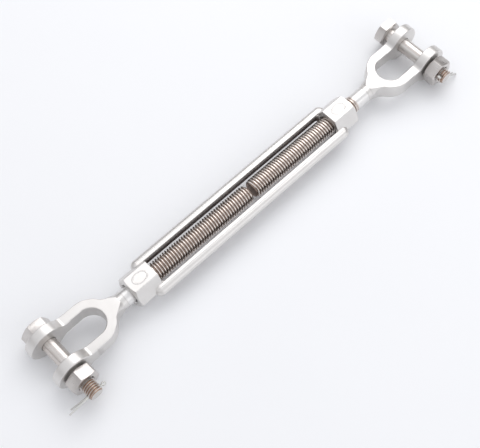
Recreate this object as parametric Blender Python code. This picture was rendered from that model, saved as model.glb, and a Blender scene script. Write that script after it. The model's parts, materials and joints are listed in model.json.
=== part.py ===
"""Open-body rigging turnbuckle with a jaw at each end, closed up: one body, two threaded shanks with their
jaws, and a bolt, a nut and a cotter pin in each jaw. Lengths are in metres, and +Z is up."""

import math

import bmesh
import bpy
from mathutils import Matrix

MM = 0.001

# Body: two bosses joined by two side bars, the reins
WINDOW_LENGTH = 152.4 * MM
WINDOW_WIDTH = 18.0 * MM
BOSS_FLATS = 20.0 * MM
BOSS_LENGTH = 18.5 * MM
BOSS_CHAMFER = 1.6 * MM
REIN_HEIGHT = 7.2 * MM
REIN_FLAT = 2.2 * MM
REIN_OVERLAP = 7.5 * MM
REIN_END_ROUND = 4.5 * MM

# Threaded shanks. Both rod ends lie this far to the right of mid-window. With a rod's end at mid-window, its
# collar line, where the forging of the jaw begins, would be BOSS_TO_COLLAR off the boss
THREAD_DIAMETER = 12.7 * MM
THREAD_DEPTH = 0.7 * MM
PLAIN_LENGTH = 10.5 * MM
BOSS_TO_COLLAR = 8.8 * MM
ROD_CHAMFER = 1.2 * MM
LEFT_ROD_END = 4.0 * MM
RIGHT_ROD_END = 7.3 * MM

# Jaws
JAW_GAP = 18.1 * MM
JAW_DEPTH = 34.1 * MM
ARM_THICKNESS = 6.6 * MM
ARM_HEIGHT = 11.4 * MM
EAR_DIAMETER = 25.2 * MM
EAR_PROUD = 0.2 * MM
FLARE_RADIUS = 8.0 * MM
NECK_LENGTH = 5.58 * MM
NECK_OVERLAP = 7.0 * MM
EDGE_ROUND = 0.8 * MM

# Bolts, nuts and cotter pins
BOLT_DIAMETER = 10.0 * MM
BOLT_END_CHAMFER = 1.0 * MM
HEX_FLATS = 17.0 * MM
HEX_CHAMFER = 0.8 * MM
HEAD_HEIGHT = 6.4 * MM
NUT_HEIGHT = 8.0 * MM
COTTER_TO_NUT = 0.4 * MM
COTTER_TO_BOLT_END = 2.5 * MM
COTTER_WIRE = 0.9 * MM
COTTER_SLIT = 0.15 * MM
COTTER_EYE = 3.2 * MM
COTTER_LONG_LEG = 19.0 * MM
COTTER_SHORT_LEG = 16.5 * MM

# How far each head and nut stands off its ear: the right bolt has slid towards its head
LEFT_HEAD_LIFT = 0.6 * MM
RIGHT_HEAD_LIFT = 5.0 * MM
NUT_LIFT = 1.2 * MM

# How far each piece is turned about its bolt's axis, in degrees
LEFT_HEAD_TURN = 6.0
RIGHT_HEAD_TURN = -1.0
LEFT_NUT_TURN = 17.0
RIGHT_NUT_TURN = 20.0
LEFT_COTTER_TURN = 0.0
RIGHT_COTTER_TURN = 218.0

# Clearances
THREAD_GAP = 0.3 * MM
BOLT_GAP = 0.3 * MM
COTTER_GAP = 0.25 * MM
COLLAR_GAP = 0.3 * MM

# How far a cutter passes the faces that it cuts, and a helper runs into what it joins
SPARE = 1.0 * MM
CHAMFER_SPARE = 0.5 * MM

ROUND_STEPS = 40
ARC_STEPS = 9
WIRE_STEPS = 12
DOME_STEPS = 5
DOME_ANGLE = 81.0
SHARP_ANGLE = 30.0

BOSS_END = WINDOW_LENGTH / 2 + BOSS_LENGTH
SHANK_DIAMETER = THREAD_DIAMETER - 2 * THREAD_DEPTH
EAR_INNER = JAW_GAP / 2
EAR_OUTER = EAR_INNER + ARM_THICKNESS
EAR_RADIUS = EAR_DIAMETER / 2
ARCH_RADIUS = EAR_INNER + EAR_PROUD
FORK_RADIUS = EAR_OUTER - EAR_PROUD
ARCH_X = ARCH_RADIUS - JAW_DEPTH
NECK_RADIUS = SHANK_DIAMETER / 2
FLARE_X = ARCH_X - math.sqrt((FORK_RADIUS + FLARE_RADIUS) ** 2 - (NECK_RADIUS + FLARE_RADIUS) ** 2)
COLLAR_TO_PIN = NECK_LENGTH - FLARE_X
THREAD_TO_PIN = COLLAR_TO_PIN + PLAIN_LENGTH
ROD_TO_PIN = BOSS_END + BOSS_TO_COLLAR + COLLAR_TO_PIN
LEFT_PIN = LEFT_ROD_END - ROD_TO_PIN
RIGHT_PIN = RIGHT_ROD_END + ROD_TO_PIN
NUT_LOW = -EAR_OUTER - NUT_LIFT - NUT_HEIGHT
COTTER_Y = NUT_LOW - COTTER_TO_NUT - COTTER_EYE / 2
BOLT_LENGTH = EAR_OUTER + RIGHT_HEAD_LIFT - COTTER_Y + COTTER_TO_BOLT_END


def clear_scene():
    for old in list(bpy.data.objects):
        bpy.data.objects.remove(old, do_unlink=True)


def metal(name, colour, roughness):
    finish = bpy.data.materials.new(name)
    finish.use_nodes = True
    shader = finish.node_tree.nodes["Principled BSDF"]
    shader.inputs["Base Color"].default_value = (*colour, 1.0)
    shader.inputs["Metallic"].default_value = 1.0
    shader.inputs["Roughness"].default_value = roughness
    return finish


def add(name, shape, parent, place=(0, 0, 0), turn=(0, 0, 0), finish=None):
    """One object from a bmesh, smooth where it is round."""
    bmesh.ops.recalc_face_normals(shape, faces=shape.faces)
    mesh = bpy.data.meshes.new(name)
    shape.to_mesh(mesh)
    shape.free()
    mesh.shade_smooth()
    mesh.set_sharp_from_angle(angle=math.radians(SHARP_ANGLE))
    piece = bpy.data.objects.new(name, mesh)
    bpy.context.scene.collection.objects.link(piece)
    piece.parent = parent
    piece.location = place
    piece.rotation_euler = turn
    if finish:
        mesh.materials.append(finish)
    return piece


def helper(name, shape, parent, place=(0, 0, 0), turn=(0, 0, 0)):
    """A solid that only joins or cuts another one."""
    tool = add(name, shape, parent, place, turn)
    tool.hide_render = True
    tool.display_type = "WIRE"
    return tool


def combine(piece, operation, *tools):
    for tool in tools:
        step = piece.modifiers.new(f"{operation.lower()} {tool.name}", "BOOLEAN")
        step.operation = operation
        step.object = tool


def arc(centre, radius, start, end, steps=ARC_STEPS):
    """Points on an arc from start to end, in degrees, with both ends."""
    angles = [math.radians(start + (end - start) * i / steps) for i in range(steps + 1)]
    return [(centre[0] + radius * math.cos(a), centre[1] + radius * math.sin(a)) for a in angles]


def prism(outline, height):
    """An outline in the XY plane, given thickness evenly above and below it."""
    shape = bmesh.new()
    face = shape.faces.new([shape.verts.new((x, y, -height / 2)) for x, y in outline])
    grown = bmesh.ops.extrude_face_region(shape, geom=[face])["geom"]
    corners = [part for part in grown if isinstance(part, bmesh.types.BMVert)]
    bmesh.ops.translate(shape, verts=corners, vec=(0, 0, height))
    return shape


def loft(rings):
    """A solid skinned over rings of points, with flat ends."""
    shape = bmesh.new()
    laid = [[shape.verts.new(point) for point in ring] for ring in rings]
    for near, far in zip(laid, laid[1:]):
        for i in range(len(near)):
            shape.faces.new((near[i - 1], near[i], far[i], far[i - 1]))
    shape.faces.new(laid[0])
    shape.faces.new(laid[-1])
    return shape


def lathe(profile, steps=ROUND_STEPS):
    """A solid turned about X from (x, radius) points, with flat ends."""
    rings = []
    for x, radius in profile:
        circle = arc((0, 0), radius, 0, 360 - 360 / steps, steps - 1)
        rings.append([(x, y, z) for y, z in circle])
    return loft(rings)


def lay_along_y(shape):
    """Turns what was made along X so that its +X end points to +Y."""
    bmesh.ops.rotate(shape, verts=shape.verts, matrix=Matrix.Rotation(math.pi / 2, 3, "Z"))
    return shape


def hexagon(flats, low, high, turn=0.0):
    """A six-sided bar along X, with two corners at +Y and -Y before its turn in degrees."""
    corner = flats / math.sqrt(3)
    shape = lathe([(low, corner), (high, corner)], steps=6)
    bmesh.ops.rotate(shape, verts=shape.verts, matrix=Matrix.Rotation(math.radians(turn), 3, "X"))
    return shape


def chamfer_cone(flats, low, high, low_chamfer, high_chamfer):
    """The turned shape that takes a hexagon's corners off at 30 degrees, this far along X at each end."""
    wide = flats / math.sqrt(3) + CHAMFER_SPARE
    slope = math.sqrt(3)
    profile = [(low - SPARE, wide), (high + SPARE, wide)]
    if low_chamfer:
        profile[:1] = [(low - SPARE, wide - slope * (low_chamfer + SPARE)), (low + low_chamfer, wide)]
    if high_chamfer:
        profile[-1:] = [(high - high_chamfer, wide), (high + SPARE, wide - slope * (high_chamfer + SPARE))]
    return lathe(profile)


def boss(parent, side):
    """One hexagonal boss as a helper, flats up and down, with its outer corners taken off."""
    name = "right" if side > 0 else "left"
    span = (BOSS_FLATS, WINDOW_LENGTH / 2, BOSS_END)
    turn = (0, 0, 0 if side > 0 else math.pi)
    block = helper(f"{name}_boss_block", hexagon(*span), parent, turn=turn)
    cone = helper(f"{name}_boss_cone", chamfer_cone(*span, 0, BOSS_CHAMFER), parent, turn=turn)
    combine(block, "INTERSECT", cone)
    return block


def rein(side):
    """One side bar: flat towards the shanks, rounded outside, with ends that die away into the bosses."""
    inner = WINDOW_WIDTH / 2
    radius = REIN_HEIGHT / 2
    section = [(inner, -radius)] + arc((inner + REIN_FLAT, 0), radius, -90, 90) + [(inner, radius)]
    start = WINDOW_LENGTH / 2 + REIN_OVERLAP - REIN_END_ROUND
    quarter = arc((0, 0), REIN_END_ROUND, 0, DOME_ANGLE, DOME_STEPS)
    dome = [(start + x, y / REIN_END_ROUND) for y, x in quarter]
    rings = []
    for x, share in [(-x, share) for x, share in reversed(dome)] + dome:
        rings.append([(x, side * (inner + (y - inner) * share), z * share) for y, z in section])
    return loft(rings)


def turnbuckle_body(parent, finish):
    body = add("turnbuckle_body", rein(1), parent, finish=finish)
    bore_radius = THREAD_DIAMETER / 2 + THREAD_GAP
    reach = BOSS_END + SPARE
    bore = helper("thread_bore", lathe([(-reach, bore_radius), (reach, bore_radius)]), parent)
    combine(body, "UNION", boss(parent, 1), boss(parent, -1), helper("near_rein", rein(-1), parent))
    combine(body, "DIFFERENCE", bore)


def shank(name, parent, pin, side, finish):
    """The threaded bar, from the end inside the window to the collar line where the jaw's forging begins."""
    thread, plain = THREAD_DIAMETER / 2, SHANK_DIAMETER / 2
    profile = [
        (-ROD_TO_PIN, thread - ROD_CHAMFER),
        (-ROD_TO_PIN + ROD_CHAMFER, thread),
        (-THREAD_TO_PIN - (thread - plain), thread),
        (-THREAD_TO_PIN, plain),
        (-COLLAR_TO_PIN - COLLAR_GAP, plain),
    ]
    add(name, lathe(profile), parent, (pin, 0, 0), (0, 0, 0 if side > 0 else math.pi), finish)


def jaw_outline():
    """The fork seen from above with its pin at the origin and the body towards -X."""
    flare_y = NECK_RADIUS + FLARE_RADIUS
    meet = math.degrees(math.atan2(flare_y, FLARE_X - ARCH_X))
    upper = [(0, FORK_RADIUS)] + arc((ARCH_X, 0), FORK_RADIUS, 90, meet)
    upper += arc((FLARE_X, flare_y), FLARE_RADIUS, meet - 180, -90)[1:]
    lower = [(x, -y) for x, y in reversed(upper)]
    arch = arc((ARCH_X, 0), ARCH_RADIUS, 270, 90, 2 * ARC_STEPS)
    return upper + lower + [(0, -ARCH_RADIUS)] + arch + [(0, ARCH_RADIUS)]


def round_rims(shape, across):
    """Rounds the edges that lie in the two flat faces which this axis, 0 to 2, passes through."""
    ends = [min(v.co[across] for v in shape.verts), max(v.co[across] for v in shape.verts)]
    rims = [
        edge
        for edge in shape.edges
        if any(all(abs(v.co[across] - end) < 0.01 * MM for v in edge.verts) for end in ends)
    ]
    bmesh.ops.bevel(shape, geom=rims, offset=EDGE_ROUND, segments=2, profile=0.5, affect="EDGES")
    return shape


def ear(name, parent, side):
    """One round ear, with the edges of its rim rounded."""
    disc = round_rims(lathe([(EAR_INNER, EAR_RADIUS), (EAR_OUTER, EAR_RADIUS)]), 0)
    return helper(name, lay_along_y(disc), parent, turn=(0, 0, 0 if side > 0 else math.pi))


def jaw(name, parent, pin, side, finish):
    """One forked jaw with its neck. Its origin is on the thread's axis, at the bolt."""
    fork = round_rims(prism(jaw_outline(), ARM_HEIGHT), 2)
    piece = add(name, fork, parent, (pin, 0, 0), (0, 0, 0 if side > 0 else math.pi), finish)
    neck_end = NECK_OVERLAP + FLARE_X
    neck = helper(f"{name}_neck", lathe([(-COLLAR_TO_PIN, NECK_RADIUS), (neck_end, NECK_RADIUS)]), piece)
    reach = EAR_OUTER + SPARE
    hole_radius = BOLT_DIAMETER / 2 + BOLT_GAP
    hole = helper(f"{name}_hole", lay_along_y(lathe([(-reach, hole_radius), (reach, hole_radius)])), piece)
    combine(piece, "UNION", neck, ear(f"{name}_far_ear", piece, 1), ear(f"{name}_near_ear", piece, -1))
    combine(piece, "DIFFERENCE", hole)


def cotter_y(head_lift):
    """Where a cotter pin crosses its bolt: the right bolt's is the nearer to its nut."""
    return COTTER_Y + head_lift - RIGHT_HEAD_LIFT


def bolt(name, parent, pin, head_lift, head_turn, cotter_turn, finish):
    """A hexagon-head bolt along Y with its head at +Y and a cross hole near its end."""
    seat = EAR_OUTER + head_lift
    end, radius = seat - BOLT_LENGTH, BOLT_DIAMETER / 2
    stem = lathe([(end, radius - BOLT_END_CHAMFER), (end + BOLT_END_CHAMFER, radius), (seat + SPARE, radius)])
    piece = add(name, lay_along_y(stem), parent, (pin, 0, 0), finish=finish)
    span = (HEX_FLATS, seat, seat + HEAD_HEIGHT)
    head = helper(f"{name}_head", lay_along_y(hexagon(*span, head_turn)), piece)
    cone = helper(f"{name}_cone", lay_along_y(chamfer_cone(*span, 0, HEX_CHAMFER)), piece)
    combine(head, "INTERSECT", cone)
    hole_radius = COTTER_WIRE + COTTER_SLIT / 2 + COTTER_GAP
    hole = helper(
        f"{name}_cotter_hole",
        lathe([(-BOLT_DIAMETER, hole_radius), (BOLT_DIAMETER, hole_radius)], steps=16),
        piece,
        (0, cotter_y(head_lift), 0),
        (0, math.radians(cotter_turn), 0),
    )
    combine(piece, "UNION", head)
    combine(piece, "DIFFERENCE", hole)


def nut(name, parent, pin, turn, finish):
    """A hexagon nut along Y on the near side of the jaw."""
    span = (HEX_FLATS, NUT_LOW, NUT_LOW + NUT_HEIGHT)
    piece = add(name, lay_along_y(hexagon(*span, turn)), parent, (pin, 0, 0), finish=finish)
    cone = helper(f"{name}_cone", lay_along_y(chamfer_cone(*span, HEX_CHAMFER, HEX_CHAMFER)), piece)
    radius = BOLT_DIAMETER / 2 + BOLT_GAP
    bore = lathe([(NUT_LOW - SPARE, radius), (NUT_LOW + NUT_HEIGHT + SPARE, radius)])
    combine(piece, "INTERSECT", cone)
    combine(piece, "DIFFERENCE", helper(f"{name}_bore", lay_along_y(bore), piece))


def cotter(name, parent, pin, head_lift, turn, finish):
    """A wire bent back on itself: an eye at +X and two straight legs towards -X, before its turn about Y."""
    wire = COTTER_WIRE / 2
    offset = wire + COTTER_SLIT / 2
    ring = COTTER_EYE / 2 - wire
    opening = math.degrees(math.asin(offset / ring))
    eye_x = BOLT_DIAMETER / 2 + COTTER_GAP + COTTER_EYE / 2
    path = [(-COTTER_LONG_LEG, -offset)] + arc((eye_x, 0), ring, -180 + opening, 180 - opening, WIRE_STEPS)
    path.append((-COTTER_SHORT_LEG, offset))
    curve = bpy.data.curves.new(name, "CURVE")
    curve.dimensions = "3D"
    curve.bevel_depth = wire
    curve.bevel_resolution = 2
    curve.use_fill_caps = True
    curve.materials.append(finish)
    spline = curve.splines.new("POLY")
    spline.points.add(len(path) - 1)
    for point, (x, y) in zip(spline.points, path):
        point.co = (x, y, 0, 1)
    piece = bpy.data.objects.new(name, curve)
    bpy.context.scene.collection.objects.link(piece)
    piece.parent = parent
    piece.location = (pin, cotter_y(head_lift), 0)
    piece.rotation_euler = (0, math.radians(turn), 0)


def assembly():
    """The empty that carries every piece and puts the origin under the middle, on the resting plane."""
    reach = [
        max(EAR_RADIUS, COTTER_LONG_LEG * abs(math.cos(math.radians(turn))))
        for turn in (LEFT_COTTER_TURN, RIGHT_COTTER_TURN)
    ]
    middle_x = (LEFT_PIN - reach[0] + RIGHT_PIN + reach[1]) / 2
    highest = EAR_OUTER + max(LEFT_HEAD_LIFT, RIGHT_HEAD_LIFT) + HEAD_HEIGHT
    lowest = EAR_OUTER + min(LEFT_HEAD_LIFT, RIGHT_HEAD_LIFT) - BOLT_LENGTH
    carrier = bpy.data.objects.new("turnbuckle", None)
    bpy.context.scene.collection.objects.link(carrier)
    carrier.location = (-middle_x, -(highest + lowest) / 2, EAR_RADIUS)
    return carrier


def main():
    clear_scene()
    carrier = assembly()
    forged = metal("satin_forged_stainless", (0.74, 0.72, 0.70), 0.28)
    threaded = metal("rolled_thread_stainless", (0.78, 0.71, 0.66), 0.32)
    fastener = metal("bright_fastener_stainless", (0.72, 0.71, 0.71), 0.24)
    wire = metal("cotter_stainless", (0.68, 0.68, 0.66), 0.35)
    turnbuckle_body(carrier, forged)
    ends = (
        ("left", -1, LEFT_PIN, LEFT_HEAD_LIFT, LEFT_HEAD_TURN, LEFT_NUT_TURN, LEFT_COTTER_TURN),
        ("right", 1, RIGHT_PIN, RIGHT_HEAD_LIFT, RIGHT_HEAD_TURN, RIGHT_NUT_TURN, RIGHT_COTTER_TURN),
    )
    for name, side, pin, head_lift, head_turn, nut_turn, cotter_turn in ends:
        shank(f"{name}_shank", carrier, pin, side, threaded)
        jaw(f"{name}_jaw", carrier, pin, side, forged)
        bolt(f"{name}_bolt", carrier, pin, head_lift, head_turn, cotter_turn, fastener)
        nut(f"{name}_nut", carrier, pin, nut_turn, fastener)
        cotter(f"{name}_cotter", carrier, pin, head_lift, cotter_turn, wire)


main()
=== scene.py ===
import json
import math

import bpy
from mathutils import Matrix, Vector


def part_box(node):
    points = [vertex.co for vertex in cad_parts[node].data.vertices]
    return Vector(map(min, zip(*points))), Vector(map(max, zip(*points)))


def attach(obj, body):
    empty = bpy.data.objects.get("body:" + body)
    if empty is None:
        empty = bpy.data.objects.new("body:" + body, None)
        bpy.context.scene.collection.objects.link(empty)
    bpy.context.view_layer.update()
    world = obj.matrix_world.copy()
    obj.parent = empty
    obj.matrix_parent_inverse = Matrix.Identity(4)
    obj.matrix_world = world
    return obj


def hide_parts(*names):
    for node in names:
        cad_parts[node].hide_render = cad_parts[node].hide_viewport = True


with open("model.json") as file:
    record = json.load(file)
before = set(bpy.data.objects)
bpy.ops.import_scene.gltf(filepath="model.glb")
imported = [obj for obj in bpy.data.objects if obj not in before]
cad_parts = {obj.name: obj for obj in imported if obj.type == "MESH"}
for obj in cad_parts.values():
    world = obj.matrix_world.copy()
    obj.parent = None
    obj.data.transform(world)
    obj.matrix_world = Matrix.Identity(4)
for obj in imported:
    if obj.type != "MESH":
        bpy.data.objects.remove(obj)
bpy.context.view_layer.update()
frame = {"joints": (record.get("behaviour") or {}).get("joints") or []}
mm = 0.001

# Everything is placed from the CAD: the thread's axis, the two bolts' pins and the middle of the body
jaws = {joint["child"]: joint for joint in frame["joints"] if joint["name"].endswith("_jaw_turn")}
pins = {end: jaws[f"{end}_jaw"]["pos_m"][0] for end in ("left", "right")}
axisY, axisZ = jaws["left_jaw"]["pos_m"][1:]
outward = {"left": -1, "right": 1}
bodyLow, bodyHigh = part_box("turnbuckle_body")
middleX = (bodyLow.x + bodyHigh.x) / 2


# Shaping tools

def hold(piece):
    # makes this piece the only one selected, and the active one
    bpy.ops.object.select_all(action="DESELECT")
    piece.select_set(True)
    bpy.context.view_layer.objects.active = piece


def settle(name):
    # names what was just added and puts its place into its mesh
    piece = bpy.context.object
    piece.name = piece.data.name = name
    bpy.ops.object.transform_apply(location=True, rotation=True, scale=True)
    return piece


def laid(along, spin=0.0):
    # lays a primitive's Z along X or Y, then spins it about that axis by degrees
    turn = Matrix.Rotation(math.pi / 2, 3, "Y")
    if along == "Y":
        turn = Matrix.Rotation(math.pi / 2, 3, "Z") @ turn
    return (Matrix.Rotation(math.radians(spin), 3, along) @ turn).to_euler()


def onAxis(along, place, pin=0.0):
    # a point on the thread's axis, or on the axis of the bolt through this pin
    return Vector((place, axisY, axisZ)) if along == "X" else Vector((pin, axisY + place, axisZ))


def arc(centre, radius, start, end, steps=12):
    # points from one angle to another, in degrees, with both ends
    angles = [math.radians(start + (end - start) * i / steps) for i in range(steps + 1)]
    return [(centre[0] + radius * math.cos(a), centre[1] + radius * math.sin(a)) for a in angles]


def extrudeThrough(stations, centreAt):
    # in edit mode, takes the selected face through (place, size) stations
    (place, size), *others = stations
    for nextPlace, nextSize in others:
        step = centreAt(nextPlace) - centreAt(place)
        bpy.ops.mesh.extrude_region_move(TRANSFORM_OT_translate={"value": step})
        bpy.ops.transform.resize(value=[nextSize / size] * 3, center_override=centreAt(nextPlace))
        place, size = nextPlace, nextSize


def closeUp():
    # points every face outwards and leaves edit mode
    bpy.ops.mesh.select_all(action="SELECT")
    bpy.ops.mesh.normals_make_consistent(inside=False)
    bpy.ops.object.mode_set(mode="OBJECT")


def turned(name, stations, along="X", pin=0.0, sides=72, spin=0.0):
    # a disc drawn out along its axis, from one (place, radius) station to the next
    start = onAxis(along, stations[0][0], pin)
    bpy.ops.mesh.primitive_circle_add(
        vertices=sides, radius=stations[0][1], fill_type="NGON", location=start, rotation=laid(along, spin)
    )
    piece = settle(name)
    bpy.ops.object.mode_set(mode="EDIT")
    bpy.ops.mesh.select_all(action="SELECT")
    extrudeThrough(stations, lambda place: onAxis(along, place, pin))
    closeUp()
    return piece


def drawn(name, points):
    # one flat face, from its corners
    mesh = bpy.data.meshes.new(name)
    mesh.from_pydata(points, [], [range(len(points))])
    piece = bpy.data.objects.new(name, mesh)
    bpy.context.scene.collection.objects.link(piece)
    hold(piece)
    bpy.ops.object.mode_set(mode="EDIT")
    bpy.ops.mesh.select_all(action="SELECT")
    return piece


def plate(name, points, thickness):
    # a flat outline drawn out by this much
    piece = drawn(name, points)
    bpy.ops.mesh.extrude_region_move(TRANSFORM_OT_translate={"value": thickness})
    closeUp()
    return piece


def finishWith(piece, kind, **settings):
    hold(piece)
    step = piece.modifiers.new(kind.lower(), kind)
    for setting, value in settings.items():
        setattr(step, setting, value)
    bpy.ops.object.modifier_apply(modifier=step.name)


def combine(piece, operation, *tools):
    for tool in tools:
        finishWith(piece, "BOOLEAN", operation=operation, object=tool)
        bpy.data.objects.remove(tool, do_unlink=True)
    return piece


def easeEdges(piece, width, angle=30.0, segments=2):
    limit = math.radians(angle)
    finishWith(piece, "BEVEL", width=width, segments=segments, limit_method="ANGLE", angle_limit=limit)


def smoothOver(piece, angle=35.0):
    hold(piece)
    bpy.ops.object.shade_smooth_by_angle(angle=math.radians(angle))


def forge(name, lumps, edge):
    # fuses overlapping lumps into one piece and eases the edges that the joins leave
    piece = combine(lumps[0], "UNION", *lumps[1:])
    piece.name = piece.data.name = name
    finishWith(piece, "WELD", merge_threshold=0.01 * mm)
    easeEdges(piece, edge, 28)
    piece.data.validate()
    smoothOver(piece, 40)
    finishWith(piece, "WEIGHTED_NORMAL", keep_sharp=True)
    return piece


def cutOff(piece, point, direction):
    # takes away what lies beyond the point, and closes the cut
    hold(piece)
    bpy.ops.object.mode_set(mode="EDIT")
    bpy.ops.mesh.select_all(action="SELECT")
    bpy.ops.mesh.bisect(
        plane_co=point, plane_no=direction, use_fill=True, clear_outer=True, threshold=0.0005 * mm
    )
    closeUp()


def editFaces(piece, wanted):
    # enters edit mode with only the faces that pass this test selected
    hold(piece)
    bpy.ops.object.mode_set(mode="EDIT")
    bpy.ops.mesh.select_mode(type="FACE")
    bpy.ops.mesh.select_all(action="DESELECT")
    bpy.ops.object.mode_set(mode="OBJECT")
    for face in piece.data.polygons:
        face.select = wanted(face)
    bpy.ops.object.mode_set(mode="EDIT")


def assign(piece, body, nodes, finish):
    piece.data.materials.clear()
    piece.data.materials.append(finish)
    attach(piece, body)
    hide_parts(*nodes)


# Finishes

class Wire:
    # a socket that takes part in arithmetic
    def __init__(self, recipe, socket):
        self.recipe = recipe
        self.socket = socket

    def maths(self, operation, *values):
        return self.recipe.node("Math", {"operation": operation}, dict(enumerate(values)))

    def __add__(self, other):
        return self.maths("ADD", self, other)

    def __radd__(self, other):
        return self.maths("ADD", other, self)

    def __sub__(self, other):
        return self.maths("SUBTRACT", self, other)

    def __rsub__(self, other):
        return self.maths("SUBTRACT", other, self)

    def __mul__(self, other):
        return self.maths("MULTIPLY", self, other)

    def __rmul__(self, other):
        return self.maths("MULTIPLY", other, self)

    def __pow__(self, other):
        return self.maths("POWER", self, other)

    def between(self, low, high):
        # 0 at low and 1 at high, held at both ends
        sockets = {"Value": self, "From Min": low, "From Max": high}
        return self.recipe.node("MapRange", {"interpolation_type": "SMOOTHSTEP"}, sockets)


class Recipe:
    # the nodes of one metal, or of the room's light
    def __init__(self, owner, shader="Principled BSDF", place="Object", **constants):
        self.owner = owner
        owner.use_nodes = True
        self.tree = owner.node_tree
        self.shader = self.tree.nodes[shader]
        self.place = self.node("TexCoord", {}, {}, place)
        for socket, value in constants.items():
            self.shader.inputs[socket.replace("_", " ")].default_value = value

    def node(self, kind, settings, sockets, out=0):
        made = self.tree.nodes.new("ShaderNode" + kind)
        for setting, value in settings.items():
            setattr(made, setting, value)
        for socket, value in sockets.items():
            if isinstance(value, Wire):
                self.tree.links.new(value.socket, made.inputs[socket])
            else:
                made.inputs[socket].default_value = value
        return Wire(self, made.outputs[out])

    def noise(self, scale, detail=3.0, roughness=0.55, stretch=None):
        place = self.place
        if stretch:
            place = self.node("Mapping", {}, {"Vector": place, "Scale": stretch})
        sockets = {"Vector": place, "Scale": scale, "Detail": detail, "Roughness": roughness}
        return self.node("TexNoise", {}, sockets)

    def mix(self, share, first, second):
        sockets = {0: share, 6: (*first, 1.0) if isinstance(first, tuple) else first}
        sockets[7] = (*second, 1.0) if isinstance(second, tuple) else second
        return self.node("Mix", {"data_type": "RGBA"}, sockets, 2)

    def xyz(self):
        split = self.tree.nodes.new("ShaderNodeSeparateXYZ")
        self.tree.links.new(self.place.socket, split.inputs[0])
        return [Wire(self, output) for output in split.outputs]

    def axisDistance(self, along, pin=0.0):
        # how far a point is from the thread's axis, or from a bolt's
        x, y, z = self.xyz()
        across = y - axisY if along == "X" else x - pin
        return (across * across + (z - axisZ) * (z - axisZ)) ** 0.5

    def bump(self, height, distance, strength=1.0, under=None):
        sockets = {"Height": height, "Distance": distance, "Strength": strength}
        if under:
            sockets["Normal"] = under
        return self.node("Bump", {}, sockets)

    def finish(self, **sockets):
        for socket, value in sockets.items():
            self.tree.links.new(value.socket, self.shader.inputs[socket.replace("_", " ")])
        return self.owner


def forgedStainless(name, windowMiddle, windowLength, windowWidth):
    # polished forging: a slightly uneven skin and fine lengthwise lines
    # the window's walls are darkened with painted shade, darkest low down, and given a rougher finish
    steel = Recipe(bpy.data.materials.new(name), Metallic=1.0)
    x, y, z = steel.xyz()
    inLength = 1.0 - (x - windowMiddle).maths("ABSOLUTE", x - windowMiddle).between(
        windowLength / 2 - 0.2 * mm, windowLength / 2 + 0.3 * mm
    )
    inWidth = 1.0 - (y - axisY).maths("ABSOLUTE", y - axisY).between(
        windowWidth / 2 + 0.05 * mm, windowWidth / 2 + 0.35 * mm
    )
    # painted shade: darker towards the bottom of the window
    deep = 1.0 - z.between(axisZ - 1.0 * mm, axisZ + 3.4 * mm)
    inside = inLength * inWidth * (0.22 + deep * 0.76)
    swell = steel.noise(150.0, 2.0)
    peel = steel.noise(900.0, 2.0, 0.5)
    lines = steel.noise(420.0, 4.0, 0.7, (0.08, 1.0, 1.0))
    tone = steel.mix(swell, (0.70, 0.68, 0.662), (0.77, 0.755, 0.74))
    # painted shade: the window's walls are mixed towards a near-black brown; the same mask also raises their
    # roughness
    tone = steel.mix(inside, tone, (0.10, 0.072, 0.062))
    rough = 0.30 + lines * 0.10 + peel * 0.06 + inside * 0.2
    relief = steel.bump(swell, 0.10 * mm, 0.35)
    relief = steel.bump(lines, 0.02 * mm, 0.4, relief)
    relief = steel.bump(peel, 0.012 * mm, 0.5, relief)
    return steel.finish(Base_Color=tone, Roughness=rough, Normal=relief)


def rolledThread(name, along, pin, bar, plainFrom):
    # rolled thread: bright burnished crests, and roots darkened with painted shade
    crest, root, bright, dull = bar["crest"], bar["root"], bar["bright"], bar["dull"]
    steel = Recipe(bpy.data.materials.new(name), Metallic=1.0)
    depth = steel.axisDistance(along, pin).between(root, root + 0.75 * (crest - root))
    patches = steel.noise(320.0, 3.0)
    specks = steel.noise(2600.0, 2.0)
    # painted shade: the tone falls from the bright crest colour to a dark brown in the roots
    tone = steel.mix(depth, dull, bright)
    tone = steel.mix(patches.between(0.5, 0.8) * 0.15, tone, tuple(0.7 * part for part in bright))
    x = steel.xyz()[0]
    low, high = plainFrom
    plain = 1.0 - x.between(low - 0.4 * mm, low) + x.between(high, high + 0.4 * mm)
    tone = steel.mix(plain, tone, (0.80, 0.79, 0.78))
    rough = 0.42 - depth * 0.20 + specks * 0.08
    relief = steel.bump(specks, 0.01 * mm, 0.5)
    return steel.finish(Base_Color=tone, Roughness=rough, Normal=relief)


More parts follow.
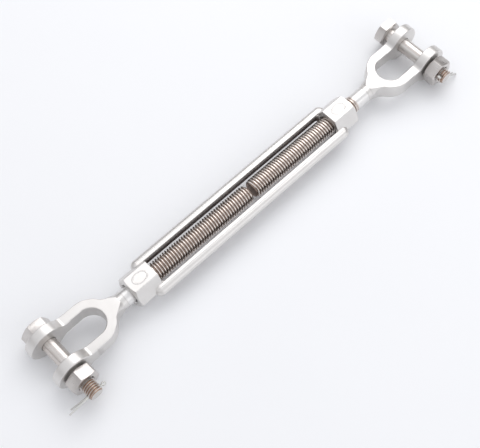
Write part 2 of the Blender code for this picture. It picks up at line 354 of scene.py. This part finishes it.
def brightFastener(name, pin, threadBelow, headAbove, crest, root):
    # cold-formed bolt or nut: faint turning rings, painted shade in the roots of the bare thread, and dark
    # painted reflections streaked along the plain shank
    steel = Recipe(bpy.data.materials.new(name), Metallic=1.0)
    reach = steel.axisDistance("Y", pin)
    turnsOfTool = reach * (2 * math.pi / (0.34 * mm))
    rings = turnsOfTool.maths("SINE", turnsOfTool)
    swell = steel.noise(240.0, 2.0)
    scuffs = steel.noise(700.0, 4.0, 0.7, (1.0, 0.2, 1.0))
    tone = steel.mix(swell, (0.56, 0.53, 0.51), (0.70, 0.675, 0.655))
    below = 1.0 - steel.xyz()[1].between(threadBelow - 0.1 * mm, threadBelow + 0.1 * mm)
    onStem = below * (1.0 - reach.between(crest + 0.02 * mm, crest + 0.1 * mm))
    groove = reach.between(root - 0.3 * mm, root - 0.1 * mm)
    groove = groove - reach.between(root, root + 0.8 * (crest - root))
    # painted shade: the roots of the bare thread are mixed towards a dark brown
    tone = steel.mix(onStem * groove, tone, (0.40, 0.27, 0.20))
    seated = 1.0 - steel.xyz()[1].between(headAbove - 0.3 * mm, headAbove)
    shank = seated * (1.0 - below) * (1.0 - reach.between(crest + 0.02 * mm, crest + 0.1 * mm))
    # painted reflections: random dark brown streaks along the plain shank
    darkReflectionStreaks = steel.noise(520.0, 2.0, 0.5, (1.0, 0.06, 1.0)).between(0.35, 0.65)
    tone = steel.mix(shank, tone, (0.76, 0.735, 0.71))
    tone = steel.mix(shank * darkReflectionStreaks * 0.35, tone, (0.36, 0.26, 0.21))
    rough = 0.22 + scuffs * 0.14 + onStem * groove * 0.1
    relief = steel.bump(rings, 0.004 * mm, 0.4)
    relief = steel.bump(scuffs, 0.012 * mm, 0.5, relief)
    return steel.finish(Base_Color=tone, Roughness=rough, Normal=relief)


def drawnWire():
    # half-round wire with fine drawing lines, a little duller than the rest
    steel = Recipe(bpy.data.materials.new("drawnCotterWire"), Metallic=1.0)
    lines = steel.noise(2600.0, 3.0, 0.7, (0.12, 1.0, 1.0))
    patches = steel.noise(380.0, 2.0)
    tone = steel.mix(patches, (0.58, 0.575, 0.55), (0.74, 0.735, 0.71))
    rough = 0.26 + lines * 0.16
    relief = steel.bump(lines, 0.012 * mm, 0.6)
    return steel.finish(Base_Color=tone, Roughness=rough, Normal=relief)


# Body: two hexagonal bosses and two reins, forged in one

body = {
    "windowLength": 152.4 * mm,
    "windowWidth": 18.0 * mm,
    "bossFlats": 20.0 * mm,
    "bossLength": 18.5 * mm,
    "bossEdge": 0.5 * mm,
    "cornerCut": 1.6 * mm,      # how far along the boss its outer corners are taken off
    "bore": 13.3 * mm,
    "countersink": 0.7 * mm,
    "reinHeight": 7.2 * mm,
    "reinFlat": 2.2 * mm,       # width of the flat top of a rein
    "reinStep": 0.35 * mm,      # drop from that flat to the rounded side
    "reinOverlap": 7.5 * mm,    # how far a rein runs along its boss
    "reinEndRound": 4.5 * mm,
    "cornerFillet": 2.4 * mm,   # in the four corners of the window
    "badge": (5.0 * mm, 3.4 * mm),   # half sizes of the blank raised oval on each boss
    "badgeWidth": 0.9 * mm,
    "badgeRelief": 0.22 * mm,
    "reinEase": 0.45 * mm,      # the small round along the window's edges
    "reinInset": 0.05 * mm,     # keeps a rein's rounded side inside its width
    "edge": 0.14 * mm,
}


def makeBoss(side):
    inner = body["windowLength"] / 2
    outer = inner + body["bossLength"]
    corner = body["bossFlats"] / math.sqrt(3)
    cut = body["cornerCut"]
    radius = body["bore"] / 2
    sink = body["countersink"]

    def stations(*pairs):
        return [(middleX + side * place, size) for place, size in pairs]

    block = turned(f"boss{side}", stations((inner, corner), (outer, corner)), sides=6)
    easeEdges(block, body["bossEdge"], 30, 3)
    wide = corner + 0.5 * mm
    slope = math.sqrt(3)
    cone = stations((inner - mm, wide), (outer - cut, wide), (outer + mm, wide - slope * (cut + mm)))
    mouth = radius + sink + mm
    bore = stations((inner - mm, mouth), (inner + sink, radius), (outer - sink, radius), (outer + mm, mouth))
    combine(block, "INTERSECT", turned("bossCone", cone, sides=96))
    combine(block, "DIFFERENCE", turned("bossBore", bore))
    return block


def makeRein(side):
    inner = body["windowWidth"] / 2
    half = body["reinHeight"] / 2
    flat = inner + body["reinFlat"]
    drop = half - body["reinStep"]
    ease = body["reinEase"]
    bulge = half - body["reinInset"]
    rounded = [(flat + bulge * y, drop * z) for y, z in arc((0, 0), 1.0, -86, 86, 20)]
    lower = [(inner, -half + ease), (inner + 0.3 * ease, -half + 0.3 * ease)]
    lower += [(inner + ease, -half), (flat, -half)]
    section = lower + rounded + [(y, -z) for y, z in reversed(lower)]
    straight = body["windowLength"] / 2 + body["reinOverlap"] - body["reinEndRound"]
    dome = [(straight + x, y / body["reinEndRound"]) for y, x in arc((0, 0), body["reinEndRound"], 0, 81, 10)]
    stations = [(-x, share) for x, share in reversed(dome)] + dome
    start, share = stations[0]
    points = [
        (middleX + start, axisY + side * (inner + (y - inner) * share), axisZ + z * share) for y, z in section
    ]
    piece = drawn(f"rein{side}", points)
    extrudeThrough(stations, lambda x: Vector((middleX + x, axisY + side * inner, axisZ)))
    closeUp()
    return piece


def makeFillet(endSide, side):
    # fills one corner of the window with a concave round
    radius = body["cornerFillet"]
    deep = body["reinHeight"] - 4 * body["reinStep"]
    outline = [(-mm, -mm), (radius, -mm), *arc((radius, radius), radius, 270, 180, 8), (-mm, radius)]
    edge, wall = body["windowLength"] / 2, body["windowWidth"] / 2
    points = [
        (middleX + endSide * (edge - u), axisY + side * (wall - v), axisZ - deep / 2) for u, v in outline
    ]
    return plate(f"fillet{endSide}{side}", points, (0, 0, deep))


def makeBadge(side):
    # the blank raised oval on the upper flat of a boss, sunk in so that only its crown stands out
    halfLong, halfWide = body["badge"]
    bpy.ops.mesh.primitive_torus_add(
        major_segments=48, minor_segments=10, major_radius=halfWide, minor_radius=body["badgeWidth"] / 2,
        location=(0, 0, 0),
    )
    piece = bpy.context.object
    piece.scale = (halfLong / halfWide, 1, 1)
    sunk = body["badgeWidth"] / 2 - body["badgeRelief"]
    along = body["windowLength"] / 2 + body["bossLength"] / 2
    piece.location = (middleX + side * along, axisY, axisZ + body["bossFlats"] / 2 - sunk)
    return settle(f"badge{side}")


lumps = [makeBoss(1), makeBoss(-1), makeRein(1), makeRein(-1)]
lumps += [makeFillet(endSide, side) for endSide in (1, -1) for side in (1, -1)]
lumps += [makeBadge(1), makeBadge(-1)]
bodyForging = forge("bodyForging", lumps, body["edge"])
forgedFinish = forgedStainless("forgedStainless", middleX, body["windowLength"], body["windowWidth"])
assign(bodyForging, "turnbuckle_body", ["turnbuckle_body"], forgedFinish)
print("body forged:", len(bodyForging.data.polygons), "faces")


# Threaded bars: the two shanks and the stems of the bolts

def threadedBar(name, bar, hand):
    # along +X from its tip at the origin: a thread, its run-out and a plain length
    pitch = bar["pitch"]
    crest, root, plain = bar["crest"], bar["root"], bar["plain"]
    profile = [(0.0, crest), (0.12, crest), (0.40, root + 0.04 * mm), (0.50, root), (0.62, root)]
    profile += [(0.72, root + 0.04 * mm), (1.0, crest)]
    mesh = bpy.data.meshes.new(name)
    points = [(share * pitch, 0.0, radius) for share, radius in profile]
    mesh.from_pydata(points, [(i, i + 1) for i in range(len(points) - 1)], [])
    piece = bpy.data.objects.new(name, mesh)
    bpy.context.scene.collection.objects.link(piece)
    turns = math.ceil(bar["threadLength"] / pitch) + 2
    steps = bar["steps"]
    winding = {"steps": steps, "render_steps": steps, "screw_offset": pitch, "iterations": turns}
    finishWith(piece, "SCREW", axis="X", **winding)
    finishWith(piece, "WELD", merge_threshold=0.002 * mm)
    for vertex in mesh.vertices:
        x = vertex.co.x - 1.5 * pitch
        radius = math.hypot(vertex.co.y, vertex.co.z)
        wanted = min(radius, max(crest - bar["chamfer"] + x, 0.5 * crest))
        share = min(max((bar["threadLength"] - x) / (1.3 * pitch), 0.0), 1.0)
        wanted = plain + (wanted - plain) * share
        vertex.co = (x, hand * vertex.co.y * wanted / radius, vertex.co.z * wanted / radius)
    cutOff(piece, (0, 0, 0), (-1, 0, 0))
    cutOff(piece, (bar["threadLength"], 0, 0), (1, 0, 0))
    editFaces(piece, lambda face: face.normal.x > 0.99 and face.center.x > bar["threadLength"] - 0.01 * mm)
    reach = bar["threadLength"] + bar["plainLength"]
    relief = bar["endRelief"]
    stations = [(bar["threadLength"], plain), (reach - relief, plain), (reach, plain - relief)]
    extrudeThrough(stations, lambda x: Vector((x, 0, 0)))
    closeUp()
    return piece


def laidDown(piece, tip, turn):
    piece.location = tip
    piece.rotation_euler = (0, 0, turn)
    hold(piece)
    bpy.ops.object.transform_apply(location=True, rotation=True, scale=True)


shank = {
    "pitch": 25.4 * mm / 13,
    "crest": 6.35 * mm,
    "root": 5.2 * mm,
    "plain": 5.65 * mm,
    "threadToPin": 60.0 * mm,
    "collarToPin": 49.5 * mm,
    "collarLine": 0.06 * mm,    # the hairline between shank and jaw
    "chamfer": 1.2 * mm,
    "endRelief": 0.08 * mm,
    "steps": 64,
    "handOf": {"left": -1, "right": 1},
    "bright": (0.98, 0.93, 0.89),
    # colour of the painted shade in the thread's roots
    "dull": (0.28, 0.21, 0.175),
}

plainFrom = (pins["left"] + shank["threadToPin"], pins["right"] - shank["threadToPin"])
threadFinish = rolledThread("rolledThread", "X", 0.0, shank, plainFrom)
for end, side in outward.items():
    low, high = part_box(f"{end}_shank")
    tip = high.x if side < 0 else low.x
    bar = dict(shank)
    bar["threadLength"] = abs(pins[end] - tip) - shank["threadToPin"]
    bar["plainLength"] = shank["threadToPin"] - shank["collarToPin"] - shank["collarLine"]
    piece = threadedBar(f"{end}ThreadedShank", bar, shank["handOf"][end])
    laidDown(piece, onAxis("X", tip), 0.0 if side > 0 else math.pi)
    smoothOver(piece)
    assign(piece, f"{end}_jaw", [f"{end}_shank"], threadFinish)
    print(f"{end} shank threaded:", len(piece.data.polygons), "faces")


# Jaws: a flat fork, two round ears and a round neck, forged in one

jaw = {
    "gap": 18.1 * mm,
    "depth": 34.1 * mm,         # from the bolt's axis to the bottom of the arch
    "armThickness": 6.6 * mm,
    "armHeight": 11.4 * mm,
    "earRadius": 12.6 * mm,
    "earProud": 0.2 * mm,       # how far an ear's cheek stands off the arm
    "earFillet": 4.0 * mm,      # where the rim of an ear sweeps down to the arm
    "flareRadius": 8.0 * mm,
    "neckRadius": 5.65 * mm,
    "squareLength": 2.4 * mm,   # how far the square root of the fork runs along the neck
    "edgeRound": 0.8 * mm,
    "hole": 10.6 * mm,
    "edge": 0.12 * mm,
    # how wide the forge leaves the fork's root: (neck radii outwards from the square, neck radii across)
    "rootFacets": ((0.0, 1.03), (1.1, 1.45)),
    "rootEnd": 1.3,             # neck radii outwards, where the facets open to the fork's full width
}


def forkOutline():
    # seen from above, with the bolt's axis at 0 and the body towards -X
    arch = jaw["gap"] / 2 + jaw["earProud"]
    back = jaw["gap"] / 2 + jaw["armThickness"] - jaw["earProud"]
    bend = arch - jaw["depth"]
    round_ = jaw["flareRadius"]
    flareY = jaw["neckRadius"] + round_
    flareX = bend - math.sqrt((back + round_) ** 2 - flareY ** 2)
    meet = math.degrees(math.atan2(flareY, flareX - bend))
    upper = [(0, back), *arc((bend, 0), back, 90, meet, 16)]
    upper += arc((flareX, flareY), round_, meet - 180, -90, 12)[1:]
    upper.append((flareX - jaw["squareLength"], jaw["neckRadius"]))
    lower = [(x, -y) for x, y in reversed(upper)]
    return upper + lower + [(0, -arch), *arc((bend, 0), arch, 270, 90, 28), (0, arch)]


def earOutline():
    # seen from the side: a round ear whose rim sweeps down to the arm on both edges
    half = jaw["armHeight"] / 2
    sweep = jaw["earFillet"]
    across = math.sqrt((jaw["earRadius"] + sweep) ** 2 - (half + sweep) ** 2)
    touch = math.degrees(math.atan2(half + sweep, -across))
    rim = arc((0, 0), jaw["earRadius"], touch, -touch, 44)
    upper = arc((-across, half + sweep), sweep, -90, touch - 180, 8)
    lower = [(x, -z) for x, z in reversed(upper)]
    tail, inset = -across - 4 * mm, half - 0.05 * mm
    return [(tail, -inset), (tail, inset), *upper[:-1], *rim, *lower[1:]]


def boltHole(pin):
    reach = jaw["gap"] / 2 + jaw["armThickness"] + mm
    return turned("boltHole", [(-reach, jaw["hole"] / 2), (reach, jaw["hole"] / 2)], "Y", pin)


def makeJaw(end):
    side, pin = outward[end], pins[end]
    half = jaw["armHeight"] / 2
    outline = [(pin + side * x, axisY + y, axisZ - half) for x, y in forkOutline()]
    fork = plate("fork", outline, (0, 0, 2 * half))
    lumps = [fork]
    for cheek in (1, -1):
        near = axisY + cheek * jaw["gap"] / 2
        points = [(pin + side * x, near, axisZ + z) for x, z in earOutline()]
        lumps.append(plate("ear", points, (0, cheek * jaw["armThickness"], 0)))
    for lump in lumps:
        easeEdges(lump, jaw["edgeRound"], 50, 3)
        combine(lump, "DIFFERENCE", boltHole(pin))
    square = min(x for x, _ in forkOutline())
    neckRadius = jaw["neckRadius"]
    wide = jaw["gap"] + jaw["armThickness"]
    facets = [(square + out * neckRadius, across * neckRadius) for out, across in jaw["rootFacets"]]
    facets += [(square + jaw["rootEnd"] * neckRadius, wide), (jaw["earRadius"] + mm, wide)]
    facets = [(pin + side * x, radius) for x, radius in facets]
    combine(fork, "INTERSECT", turned("facets", facets, sides=96))
    neck = [pin - side * shank["collarToPin"], pin - side * (jaw["depth"] + 2 * mm)]
    lumps.append(turned("neck", [(x, neckRadius) for x in neck]))
    piece = forge(f"{end}JawForging", lumps, jaw["edge"])
    assign(piece, f"{end}_jaw", [f"{end}_jaw"], forgedFinish)
    print(f"{end} jaw forged:", len(piece.data.polygons), "faces")


for end in outward:
    makeJaw(end)


# Bolts, nuts and cotter pins

fastener = {
    "flats": 17.0 * mm,
    "cornerCut": 0.9 * mm,
    "washerFace": 0.4 * mm,
    "washerRadius": 7.82 * mm,
    "headHeight": 6.4 * mm,
    "dishRadii": (6.1 * mm, 7.2 * mm),   # the shallow turned dish in a head: at its floor, and well above it
    "dishDepth": 0.25 * mm,
    "edge": 0.16 * mm,
    "headTurn": {"left": 6.0, "right": -1.0},
    "nutTurn": {"left": 17.0, "right": 20.0},
    "cotterTurn": {"left": 0.0, "right": 218.0},
    "nutBore": 10.6 * mm,
    "nutSink": 0.6 * mm,
}

stem = {
    "pitch": 1.5 * mm,
    "crest": 5.0 * mm,
    "root": 4.15 * mm,
    "plain": 5.0 * mm,
    "threadLength": 18.0 * mm,
    "chamfer": 1.1 * mm,
    "endRelief": 0.05 * mm,
    "steps": 56,
    "cotterHole": 1.225 * mm,
    "tipToCotter": 2.5 * mm,
    "intoHead": 1.5 * mm,
}


def hexBlock(name, pin, low, high, spin, cutLow, cutHigh):
    # a hexagon with the corners taken off at 30 degrees at either end
    corner = fastener["flats"] / math.sqrt(3)
    cut = fastener["cornerCut"]
    wide, slope = corner + 0.5 * mm, math.sqrt(3)
    block = turned(name, [(low, corner), (high, corner)], "Y", pin, 6, spin)
    cone = [(low - mm, wide), (high + mm, wide)]
    if cutLow:
        cone[:1] = [(low - mm, wide - slope * (cut + mm)), (low + cut, wide)]
    if cutHigh:
        cone[-1:] = [(high - cut, wide), (high + mm, wide - slope * (cut + mm))]
    return combine(block, "INTERSECT", turned("cornerCone", cone, "Y", pin, 96))


def makeBolt(end, finish):
    pin = pins[end]
    low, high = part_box(f"{end}_bolt")
    tip = low.y - axisY
    top = high.y - axisY
    seat = top - fastener["headHeight"]
    bar = dict(stem)
    bar["plainLength"] = seat + stem["intoHead"] - tip - stem["threadLength"]
    piece = threadedBar(f"{end}ClevisBolt", bar, 1)
    laidDown(piece, onAxis("Y", tip, pin), math.pi / 2)
    face = fastener["washerFace"]
    head = hexBlock("head", pin, seat + face, top, fastener["headTurn"][end], False, True)
    washer = [(place, fastener["washerRadius"]) for place in (seat, seat + 1.5 * face)]
    floorRadius, upperRadius = fastener["dishRadii"]
    dish = [(top - fastener["dishDepth"], floorRadius), (top + mm, upperRadius)]
    combine(head, "DIFFERENCE", turned("dish", dish, "Y", pin))
    combine(head, "UNION", turned("washerFace", washer, "Y", pin))
    easeEdges(head, fastener["edge"], 25)
    combine(piece, "UNION", head)
    across = math.radians(fastener["cotterTurn"][end])
    bpy.ops.mesh.primitive_cylinder_add(
        vertices=32, radius=stem["cotterHole"], depth=14 * mm,
        location=onAxis("Y", tip + stem["tipToCotter"], pin), rotation=(0, math.pi / 2 + across, 0),
    )
    combine(piece, "DIFFERENCE", settle("cotterHole"))
    smoothOver(piece)
    assign(piece, f"{end}_bolt", [f"{end}_bolt"], finish)


def makeNut(end, finish):
    pin = pins[end]
    low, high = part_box(f"{end}_nut")
    start, stop = low.y - axisY, high.y - axisY
    piece = hexBlock(f"{end}HexNut", pin, start, stop, fastener["nutTurn"][end], True, True)
    radius = fastener["nutBore"] / 2
    sink = fastener["nutSink"]
    mouth = radius + sink + mm
    bore = [(start - mm, mouth), (start + sink, radius), (stop - sink, radius), (stop + mm, mouth)]
    combine(piece, "DIFFERENCE", turned("nutBore", bore, "Y", pin))
    easeEdges(piece, fastener["edge"], 25)
    smoothOver(piece)
    assign(piece, f"{end}_nut", [f"{end}_nut"], finish)


cotter = {
    "wire": 0.9 * mm,           # half the round that both legs make together
    "slit": 0.12 * mm,
    "eye": 3.2 * mm,
    "longLeg": 19.0 * mm,
    "shortLeg": 16.5 * mm,
    "splay": 0.5 * mm,          # how far each tip stands off the middle
    "bend": 7 * mm,             # where each leg starts to splay, past the middle of the hole
    "eyeClear": 0.25 * mm,      # between the bolt's thread and the eye
}


def makeCotter(end, finish):
    pin = pins[end]
    wire = cotter["wire"]
    off = cotter["slit"] / 2
    ring = cotter["eye"] / 2 - wire
    opening = math.degrees(math.asin(off / ring))
    eyeX = stem["crest"] + cotter["eyeClear"] + cotter["eye"] / 2
    path = [(-cotter["longLeg"], -off - cotter["splay"]), (-cotter["bend"], -off), (0.0, -off)]
    path += arc((eyeX, 0), ring, -180 + opening, 180 - opening, 28)
    path += [(0.0, off), (-cotter["bend"], off), (-cotter["shortLeg"], off + cotter["splay"])]
    section = bpy.data.curves.new("halfRound", "CURVE")
    section.dimensions = "2D"
    spline = section.splines.new("POLY")
    spline.use_cyclic_u = True
    half = [(0.0, 0.92 * wire)] + arc((0, 0), 0.96 * wire, 78, -78, 10) + [(0.0, -0.92 * wire)]
    spline.points.add(len(half) - 1)
    for point, (x, y) in zip(spline.points, half):
        point.co = (x, y, 0, 1)
    sectionPiece = bpy.data.objects.new("halfRound", section)
    bpy.context.scene.collection.objects.link(sectionPiece)
    curve = bpy.data.curves.new(f"{end}CotterPin", "CURVE")
    curve.dimensions = "2D"
    curve.bevel_mode = "OBJECT"
    curve.bevel_object = sectionPiece
    curve.use_fill_caps = True
    spline = curve.splines.new("POLY")
    spline.points.add(len(path) - 1)
    for point, (x, y) in zip(spline.points, path):
        point.co = (x, y, 0, 1)
    piece = bpy.data.objects.new(f"{end}CotterPin", curve)
    bpy.context.scene.collection.objects.link(piece)
    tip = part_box(f"{end}_bolt")[0].y
    piece.location = (pin, tip + stem["tipToCotter"], axisZ)
    piece.rotation_euler = (0, math.radians(fastener["cotterTurn"][end]), 0)
    hold(piece)
    bpy.ops.object.convert(target="MESH")
    piece = settle(f"{end}CotterPin")
    bpy.data.objects.remove(sectionPiece, do_unlink=True)
    bpy.ops.object.mode_set(mode="EDIT")
    bpy.ops.mesh.select_all(action="SELECT")
    bpy.ops.mesh.remove_doubles(threshold=0.001 * mm)
    closeUp()
    easeEdges(piece, 0.08 * mm, 50)
    smoothOver(piece)
    assign(piece, f"{end}_cotter", [f"{end}_cotter"], finish)


wireFinish = drawnWire()
for end in outward:
    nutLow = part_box(f"{end}_nut")[0].y
    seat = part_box(f"{end}_bolt")[1].y - fastener["headHeight"]
    name = f"{end}BrightFastener"
    fastenerFinish = brightFastener(name, pins[end], nutLow, seat, stem["crest"], stem["root"])
    makeBolt(end, fastenerFinish)
    makeNut(end, fastenerFinish)
    makeCotter(end, wireFinish)
    print(f"{end} bolt, nut and cotter pin made")


# Floor, light and camera

studio = {
    "floorSize": 30.0,
    "floorColour": (0.945, 0.955, 0.975),
    "roomColour": (0.97, 0.975, 1.0),
    "darkSide": (0.10, 0.085, 0.08),    # a band above the horizon, darkest behind the object
    "roomBrightness": 0.91,
    # name: direction from the object, distance, width and height in metres, brightness, colour
    "lamps": {
        "key": ((0.55, 0.34, 0.76), 1.10, (1.1, 0.9), 1.30, (1.0, 0.99, 0.98)),
        "right": ((0.33, -0.86, 0.40), 1.20, (1.0, 0.6), 0.80, (0.97, 0.98, 1.0)),
    },
    "aim": (-18.33 * mm, -8.72 * mm, 12.6 * mm),
    "distance": 0.63604,
    "azimuth": -44.8,
    "elevation": 62.45,
    "roll": 0.55,
    "lens": 77.43,
}

bpy.ops.mesh.primitive_plane_add(size=studio["floorSize"], location=(0, 0, -0.02 * mm))
floor = settle("studioFloor")
paper = Recipe(bpy.data.materials.new("palePaper"), Metallic=0.0)
fibres = paper.noise(9.0, 4.0)
deeper = tuple(0.985 * part for part in studio["floorColour"])
shade = paper.mix(fibres, studio["floorColour"], deeper)
floor.data.materials.append(paper.finish(Base_Color=shade, Roughness=0.55 + fibres * 0.1))

world = bpy.data.worlds.new("studioWorld")
bpy.context.scene.world = world
room = Recipe(world, "Background", "Generated", Strength=studio["roomBrightness"])
x, y, z = room.xyz()
low = z.between(0.14, 0.22) - z.between(0.22, 0.76)
behind = (x * 0.75 + y * 0.65).between(-0.35, 0.45)
room.finish(Color=room.mix(low * (0.5 + behind * 0.5), studio["roomColour"], studio["darkSide"]))

aim = Vector(studio["aim"])
for name, (direction, distance, size, brightness, colour) in studio["lamps"].items():
    bpy.ops.object.light_add(type="AREA", location=aim + Vector(direction).normalized() * distance)
    lamp = bpy.context.object
    lamp.name = f"{name}Lamp"
    lamp.data.shape = "RECTANGLE"
    lamp.data.size, lamp.data.size_y = size
    lamp.data.energy = brightness * math.pi * size[0] * size[1]
    lamp.data.color = colour
    lamp.rotation_euler = (-Vector(direction)).to_track_quat("-Z", "Y").to_euler()

azimuth, elevation = math.radians(studio["azimuth"]), math.radians(studio["elevation"])
across = math.cos(elevation)
back = Vector((math.sin(azimuth) * across, -math.cos(azimuth) * across, math.sin(elevation)))
bpy.ops.object.camera_add(location=aim + back * studio["distance"])
camera = bpy.context.object
facing = (-back).to_track_quat("-Z", "Y").to_matrix() @ Matrix.Rotation(math.radians(studio["roll"]), 3, "Z")
camera.rotation_euler = facing.to_euler()
camera.data.lens = studio["lens"]
camera.data.clip_start = 0.01
bpy.context.scene.camera = camera
bpy.context.scene.view_settings.view_transform = "Standard"
print("studio set")
